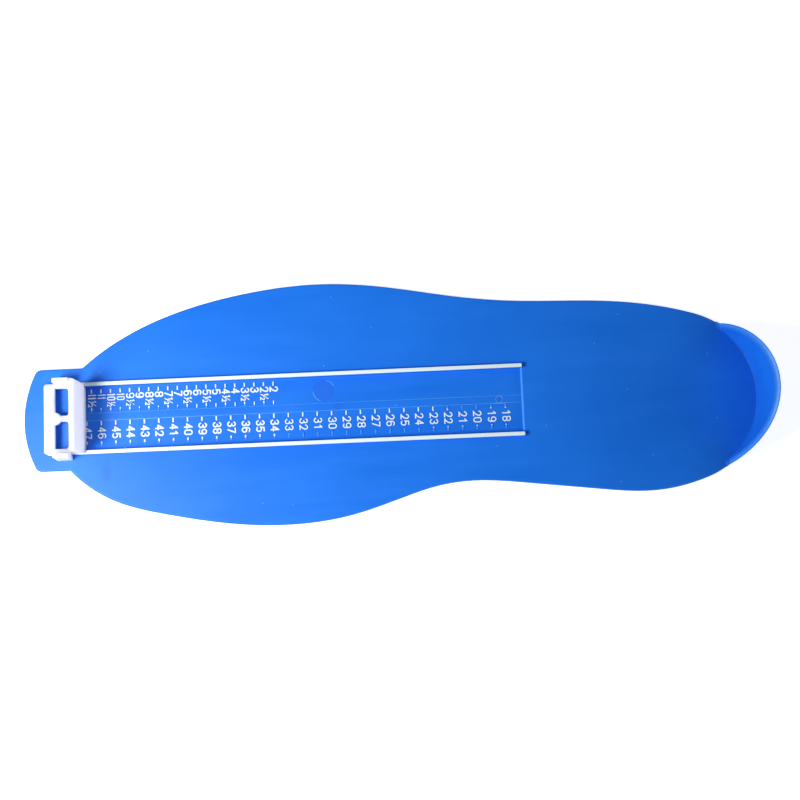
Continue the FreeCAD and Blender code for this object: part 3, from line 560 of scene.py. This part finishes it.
stamped_white_foil, tree = new_material("stamped_white_foil")
place = add(tree, "ShaderNodeTexCoord").outputs["Object"]
patches = add(tree, "ShaderNodeTexNoise", {"Vector": place, "Scale": 1 / PATCH_SIZE,
                                           "Detail": 3.0, "Roughness": 0.6})
thin = add(tree, "ShaderNodeMapRange", {"Value": patches.outputs["Fac"],
                                        "From Min": PATCH_NOISE[0], "From Max": PATCH_NOISE[1],
                                        "To Min": 0.0, "To Max": PATCH_DEPTH})
foil_colour = add(tree, "ShaderNodeMix", {0: thin.outputs[0], 6: linear(FOIL_WHITE),
                                          7: linear(FOIL_THIN)}, data_type="RGBA")
foil_roughness = add(tree, "ShaderNodeMapRange", {"Value": patches.outputs["Fac"],
                                                  "From Min": USUAL_NOISE[0],
                                                  "From Max": USUAL_NOISE[1],
                                                  "To Min": FOIL_ROUGHNESS[0],
                                                  "To Max": FOIL_ROUGHNESS[1]})
foil_bump = add(tree, "ShaderNodeBump", {"Height": patches.outputs["Fac"], "Strength": 0.3,
                                         "Distance": PATCH_SINK})
shader = add(tree, "ShaderNodeBsdfPrincipled", {"Base Color": foil_colour.outputs[2],
                                                "Roughness": foil_roughness.outputs[0],
                                                "IOR": FOIL_IOR, "Normal": foil_bump.outputs[0]})
add(tree, "ShaderNodeOutputMaterial", {"Surface": shader.outputs[0]})

# How wide the sloped edge of a raised top is: where the roller presses firmly, where it presses
# lightly, and where it leaves only the middle of a stroke covered.
FIRM_EDGE = 0.04 * MM
LIGHT_EDGE = 0.08 * MM
WIDE_EDGE = 0.15 * MM
EDGE_DROP = 0.05 * MM
FOIL_TILT = 0.3
FIRM_EU_SIZES = (34, 45)
FIRM_UK_BELOW = 9.5
WIDE_UK_SIZES = (10.0, 11.0)


def ease_top_edges(piece, slope_at):
    """Rings each raised top with a small slope, as wide as slope_at gives for that place."""
    def top_here(face):
        return face.normal.z > SQUARE_ON and face.calc_center_median().z > MARK_TOP_FROM_Z
    for slope in (FIRM_EDGE, LIGHT_EDGE, WIDE_EDGE):
        select_where(piece, "FACE", lambda face: top_here(face)
                     and slope_at(face.calc_center_median()) == slope)
        if any(face.select for face in bmesh.from_edit_mesh(piece.data).faces):
            bpy.ops.mesh.inset(thickness=slope, depth=0.0, use_even_offset=True)
    select_where(piece, "VERT", lambda vert: vert.co.z > MARK_TOP_FROM_Z
                 and any(abs(face.normal.z) < WALL_TILT for face in vert.link_faces))
    bpy.ops.transform.translate(value=(0.0, 0.0, -EDGE_DROP))
    bpy.ops.object.mode_set(mode="OBJECT")


def is_top(face):
    return face.normal.z > LOOKING_UP


def lay_foil(piece, covered):
    """Gives the covered faces the foil. Tops without it take the paler blue of a painted
    highlight, the rest is as moulded.
    """
    for material in (moulded_blue_abs, stamped_white_foil, painted_highlight_blue_abs):
        piece.data.materials.append(material)
    for face in piece.data.polygons:
        if face.normal.z > FOIL_TILT and covered(face):
            face.material_index = 1
        else:
            # Bare tops take the paler blue of a painted highlight.
            face.material_index = 2 if is_top(face) else 0
    pick_only(piece)
    bpy.ops.object.shade_flat()
    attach(piece, "base")


def eu_slope(centre):
    first, last = FIRM_EU_SIZES
    firm = eu_x(last + 0.5) < centre.x < eu_x(first - 0.5)
    return FIRM_EDGE if firm else LIGHT_EDGE


def uk_number_slope(centre):
    """The widest on the two plain two-digit sizes, where the roller presses least."""
    size = uk_size(centre.x - DIGIT_LEAN)
    if size in WIDE_UK_SIZES:
        return WIDE_EDGE
    return FIRM_EDGE if size < FIRM_UK_BELOW else LIGHT_EDGE


eu_numbers = welded_copy("eu_numbers", "raised_eu_numbers")
ease_top_edges(eu_numbers, eu_slope)
lay_foil(eu_numbers, lambda face: is_top(face) or eu_slope(face.center) == FIRM_EDGE)
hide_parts("eu_numbers")

uk_numbers = welded_copy("uk_numbers", "raised_uk_numbers")
ease_top_edges(uk_numbers, uk_number_slope)
lay_foil(uk_numbers, lambda face: is_top(face) or uk_number_slope(face.center) == FIRM_EDGE)
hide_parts("uk_numbers")

# How far the foil runs along each tick. A row of ticks is given by its end next to the numbers and
# the way it runs from there. The numbers stand between two rows.
EU_ROWS = ((-3.325 * MM, 1.0), (-10.575 * MM, -1.0))
EU_NUMBERS_Y = -7.0 * MM
UK_ROWS = ((11.645 * MM, 1.0), (4.895 * MM, -1.0))
UK_NUMBERS_Y = 8.0 * MM
FULL = 9.0 * MM
DASH = 1.8 * MM
SHORT_DASH = 1.2 * MM
DOT = 0.8 * MM
SMALL_DOT = 0.5 * MM
NO_FOIL = 0.0


def eu_foil_reach(centre):
    """Above the numbers whole from 23 up, a dot at 22 and a small one at 19 and 18; below them a
    short dash from 34 up and a small dot up to 23. The other ticks stay bare."""
    size = eu_size(centre.x)
    if centre.y > EU_NUMBERS_Y:
        if size >= 22:
            return FULL if size > 22 else DOT
        return NO_FOIL if size >= 20 else SMALL_DOT
    return SHORT_DASH if size >= 34 else (SMALL_DOT if size <= 23 else NO_FOIL)


def uk_foil_reach(centre):
    """Above the numbers whole; below them a short dash at the half sizes, and at the whole ones a
    dash up to 6 and a dot from 7."""
    size = uk_size(centre.x)
    if centre.y > UK_NUMBERS_Y:
        return FULL
    if size % 1:
        return SHORT_DASH
    return DOT if size >= 7 else DASH


def uk_tick_slope(centre):
    whole_size = uk_size(centre.x) % 1 == 0
    return WIDE_EDGE if whole_size and centre.y < UK_NUMBERS_Y else LIGHT_EDGE


def cut_ticks(piece, rows, reaches):
    """Cuts the ticks across where foil can end, so that its end is a clean edge."""
    for label_end, away in rows:
        for reach in reaches:
            bpy.ops.object.mode_set(mode="EDIT")
            bpy.ops.mesh.select_all(action="SELECT")
            bpy.ops.mesh.bisect(plane_co=(0.0, label_end + away * reach, 0.0),
                                plane_no=(0.0, 1.0, 0.0))
    bpy.ops.object.mode_set(mode="OBJECT")


def tick_covered(face, reach_of, rows):
    label_end, away = min(rows, key=lambda row: abs(face.center.y - row[0]))
    return is_top(face) and (face.center.y - label_end) * away < reach_of(face.center)


eu_ticks = welded_copy("eu_ticks", "raised_eu_ticks")
ease_top_edges(eu_ticks, eu_slope)
cut_ticks(eu_ticks, EU_ROWS, (SMALL_DOT, DOT, SHORT_DASH))
lay_foil(eu_ticks, lambda face: tick_covered(face, eu_foil_reach, EU_ROWS))
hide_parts("eu_ticks")

uk_ticks = welded_copy("uk_ticks", "raised_uk_ticks")
ease_top_edges(uk_ticks, uk_tick_slope)
cut_ticks(uk_ticks, UK_ROWS, (DOT, SHORT_DASH, DASH))
lay_foil(uk_ticks, lambda face: tick_covered(face, uk_foil_reach, UK_ROWS))
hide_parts("uk_ticks")


# ---- rail stripes ---------------------------------------------------------------------------
# A strip of the same white foil on the flat top of each rail, stamped in the same pass. The
# roller leaves its four corners a little rounded.
STRIPE_CORNER = 0.5 * MM
CORNER_CREASE = math.radians(60)
UPRIGHT_WITHIN = 0.001 * MM


def at_stripe_corner(edge):
    foot, head = (vert.co for vert in edge.verts)
    return (foot - head).xy.length < UPRIGHT_WITHIN and len(edge.link_faces) == 2 and \
        edge.calc_face_angle() > CORNER_CREASE


for node_name, piece_name in (("rail_stripe_uk_side", "foil_stripe_uk_side"),
                              ("rail_stripe_eu_side", "foil_stripe_eu_side")):
    stripe = welded_copy(node_name, piece_name)
    select_where(stripe, "EDGE", at_stripe_corner)
    bpy.ops.mesh.bevel(offset=STRIPE_CORNER, segments=4, profile=0.5)
    bpy.ops.object.mode_set(mode="OBJECT")
    stripe.data.materials.append(stamped_white_foil)
    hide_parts(node_name)
    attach(stripe, "base")


# ---- toe slider -----------------------------------------------------------------------------
# A small bridge in white ABS that clips over both rails: a deck with two reading windows, an
# upright wall for the toes and a gripped cheek at each side. One moulding, its edges broken.
EDGE_BREAK = 0.14 * MM
BREAK_CREASE = math.radians(50)

# ABS, injection moulded in white: satin, IOR 1.54, with the mould's fine texture, drawn coarser
# than it is. Light goes a few millimetres into it, so its thin walls glow a little and its edges
# look soft.
ABS_WHITE = "#F8F3FA"
ABS_WHITE_WARM = "#F2EEF7"
WHITE_ROUGHNESS = (0.36, 0.48)
WARM_PATCH_SIZE = 9.0 * MM
GRAIN_SIZE = 0.4 * MM
GRAIN_HEIGHT = 0.015 * MM
LIGHT_REACH = 9.0 * MM
LIGHT_REACH_BY_COLOUR = (1.0, 0.9, 1.0)

moulded_white_abs, tree = new_material("moulded_white_abs")
place = add(tree, "ShaderNodeTexCoord").outputs["Object"]
drift = add(tree, "ShaderNodeTexNoise", {"Vector": place, "Scale": 1 / WARM_PATCH_SIZE,
                                         "Detail": 3.0})
white = add(tree, "ShaderNodeMix", {0: drift.outputs["Fac"], 6: linear(ABS_WHITE),
                                    7: linear(ABS_WHITE_WARM)}, data_type="RGBA")
satin = add(tree, "ShaderNodeMapRange", {"Value": drift.outputs["Fac"],
                                         "From Min": USUAL_NOISE[0], "From Max": USUAL_NOISE[1],
                                         "To Min": WHITE_ROUGHNESS[0],
                                         "To Max": WHITE_ROUGHNESS[1]})
grain = add(tree, "ShaderNodeTexNoise", {"Vector": place, "Scale": 1 / GRAIN_SIZE,
                                         "Detail": 2.0})
grain_bump = add(tree, "ShaderNodeBump", {"Height": grain.outputs["Fac"], "Strength": 0.25,
                                          "Distance": GRAIN_HEIGHT})
shader = add(tree, "ShaderNodeBsdfPrincipled", {"Base Color": white.outputs[2],
                                                "Roughness": satin.outputs[0], "IOR": ABS_IOR,
                                                "Subsurface Weight": 0.9,
                                                "Subsurface Radius": LIGHT_REACH_BY_COLOUR,
                                                "Subsurface Scale": LIGHT_REACH,
                                                "Normal": grain_bump.outputs[0]})
add(tree, "ShaderNodeOutputMaterial", {"Surface": shader.outputs[0]})

slider = welded_copy("toe_slider", "moulded_slider")
bpy.ops.object.modifier_add(type="BEVEL")
edge_break = slider.modifiers[-1]
edge_break.width = EDGE_BREAK
edge_break.segments = 2
edge_break.limit_method = "ANGLE"
edge_break.angle_limit = BREAK_CREASE
bpy.ops.object.modifier_apply(modifier=edge_break.name)
smooth_off(slider)
slider.data.materials.append(moulded_white_abs)
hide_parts("toe_slider")
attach(slider, "slider")


# ---- floor ----------------------------------------------------------------------------------
# A wide sheet of matt white paper under the gauge. It shows the camera a clean white and still
# takes the gauge's soft shadow.
FLOOR_SPAN = 6.0
FLOOR_CUTS = 6
FLOOR_DROP = 0.05 * MM
PAPER = "#F4F4F4"
PAPER_GLOW = 0.76

bpy.ops.object.select_all(action="DESELECT")
bpy.ops.mesh.primitive_plane_add(size=FLOOR_SPAN, location=(0.0, 0.0, 0.0))
floor = bpy.context.object
floor.name = "paper_floor"
bpy.ops.object.mode_set(mode="EDIT")
bpy.ops.mesh.select_all(action="SELECT")
bpy.ops.mesh.subdivide(number_cuts=FLOOR_CUTS)
bpy.ops.transform.translate(value=(0.0, 0.0, -FLOOR_DROP))
bpy.ops.object.mode_set(mode="OBJECT")

# Matt white paper, a plain diffuse surface. Its glow is only for the camera and for what shines or
# lets light through, so it throws no light on the gauge.
matt_paper, tree = new_material("matt_paper")
paths = add(tree, "ShaderNodeLightPath")
seen = add(tree, "ShaderNodeMath", {0: paths.outputs["Is Camera Ray"],
                                    1: paths.outputs["Is Glossy Ray"]}, operation="MAXIMUM")
seen = add(tree, "ShaderNodeMath", {0: seen.outputs[0],
                                    1: paths.outputs["Is Transmission Ray"]},
           operation="MAXIMUM")
glow_level = add(tree, "ShaderNodeMath", {0: seen.outputs[0], 1: PAPER_GLOW},
                 operation="MULTIPLY")
glow = add(tree, "ShaderNodeEmission", {"Strength": glow_level.outputs[0]})
matt = add(tree, "ShaderNodeBsdfDiffuse", {"Color": linear(PAPER)})
both = add(tree, "ShaderNodeAddShader", {0: matt.outputs[0], 1: glow.outputs[0]})
add(tree, "ShaderNodeOutputMaterial", {"Surface": both.outputs[0]})
floor.data.materials.append(matt_paper)


# ---- light ----------------------------------------------------------------------------------
# One softbox over the toe end, close enough that its light falls off towards the heel. The studio
# is white at the floor, grey higher up and dim overhead, with a low window beyond the heel.
LAMP_AT = Vector((-0.472, -0.11, 0.338))
LAMP_AIM = Vector((-0.18, 0.0, 0.0))
LAMP_SIZE = 0.2
LAMP_POWER = 2.25

lamp = bpy.data.lights.new("softbox", "AREA")
lamp.shape = "DISK"
lamp.size = LAMP_SIZE
lamp.energy = LAMP_POWER
lamp_object = bpy.data.objects.new("softbox", lamp)
lamp_object.location = LAMP_AT
lamp_object.rotation_euler = (LAMP_AIM - LAMP_AT).to_track_quat("-Z", "Y").to_euler()
lamp_object.visible_camera = False
bpy.context.scene.collection.objects.link(lamp_object)

# The studio round it, by direction. Z is how far up and X how far towards the heel a direction
# points, each from -1 to 1.
HORIZON_STRENGTH = 1.0
HORIZON_Z = (0.04, 0.14)
WALL_STRENGTH = 0.2
CEILING_STRENGTH = 0.08
CEILING_Z = (0.3, 0.7)
WINDOW_STRENGTH = 3.0
WINDOW_X = (0.55, 0.8)
WINDOW_TOP_Z = (0.34, 0.46)
NEUTRAL = "#FFFFFF"

world = bpy.data.worlds.new("studio")
world.use_nodes = True
tree = world.node_tree
tree.nodes.clear()
heading = add(tree, "ShaderNodeTexCoord").outputs["Generated"]
axis = add(tree, "ShaderNodeSeparateXYZ", {0: heading})
below_ceiling = add(tree, "ShaderNodeMapRange", {"Value": axis.outputs["Z"],
                                                 "From Min": CEILING_Z[0],
                                                 "From Max": CEILING_Z[1],
                                                 "To Min": 1.0, "To Max": 0.0},
                    interpolation_type="SMOOTHSTEP")
room = add(tree, "ShaderNodeMix", {0: below_ceiling.outputs[0], 2: CEILING_STRENGTH,
                                   3: WALL_STRENGTH}, data_type="FLOAT")
to_heel_side = add(tree, "ShaderNodeMapRange", {"Value": axis.outputs["X"],
                                                "From Min": WINDOW_X[0],
                                                "From Max": WINDOW_X[1]},
                   interpolation_type="SMOOTHSTEP")
window_top = add(tree, "ShaderNodeMapRange", {"Value": axis.outputs["Z"],
                                              "From Min": WINDOW_TOP_Z[0],
                                              "From Max": WINDOW_TOP_Z[1],
                                              "To Min": WINDOW_STRENGTH, "To Max": 0.0},
                 interpolation_type="SMOOTHSTEP")
window = add(tree, "ShaderNodeMath", {0: window_top.outputs[0], 1: to_heel_side.outputs[0]},
             operation="MULTIPLY")
horizon = add(tree, "ShaderNodeMapRange", {"Value": axis.outputs["Z"], "From Min": HORIZON_Z[0],
                                           "From Max": HORIZON_Z[1],
                                           "To Min": HORIZON_STRENGTH, "To Max": 0.0},
              interpolation_type="SMOOTHSTEP")
brighter = add(tree, "ShaderNodeMath", {0: room.outputs[0], 1: horizon.outputs[0]},
               operation="MAXIMUM")
brightest = add(tree, "ShaderNodeMath", {0: brighter.outputs[0], 1: window.outputs[0]},
                operation="MAXIMUM")
sky = add(tree, "ShaderNodeBackground", {"Color": linear(NEUTRAL),
                                         "Strength": brightest.outputs[0]})
add(tree, "ShaderNodeOutputWorld", {"Surface": sky.outputs[0]})
bpy.context.scene.world = world


# ---- camera ---------------------------------------------------------------------------------
# A camera with a slightly long lens, held at arm's length over the gauge. It looks nearly straight
# down, with the toes to the left.
SENSOR_WIDTH_MM = 36.0
LENS_MM = 58.5
CAMERA_AT = (-0.15159, -0.07181, 0.59612)
CAMERA_TURN_DEGREES = (7.06861822, 1.39859662, -2.3503306)

camera_data = bpy.data.cameras.new("camera")
camera_data.sensor_width = SENSOR_WIDTH_MM
camera_data.lens = LENS_MM
camera = bpy.data.objects.new("camera", camera_data)
camera.location = CAMERA_AT
camera.rotation_euler = [math.radians(angle) for angle in CAMERA_TURN_DEGREES]
bpy.context.scene.collection.objects.link(camera)
bpy.context.scene.camera = camera

bpy.context.scene.view_settings.view_transform = "Standard"
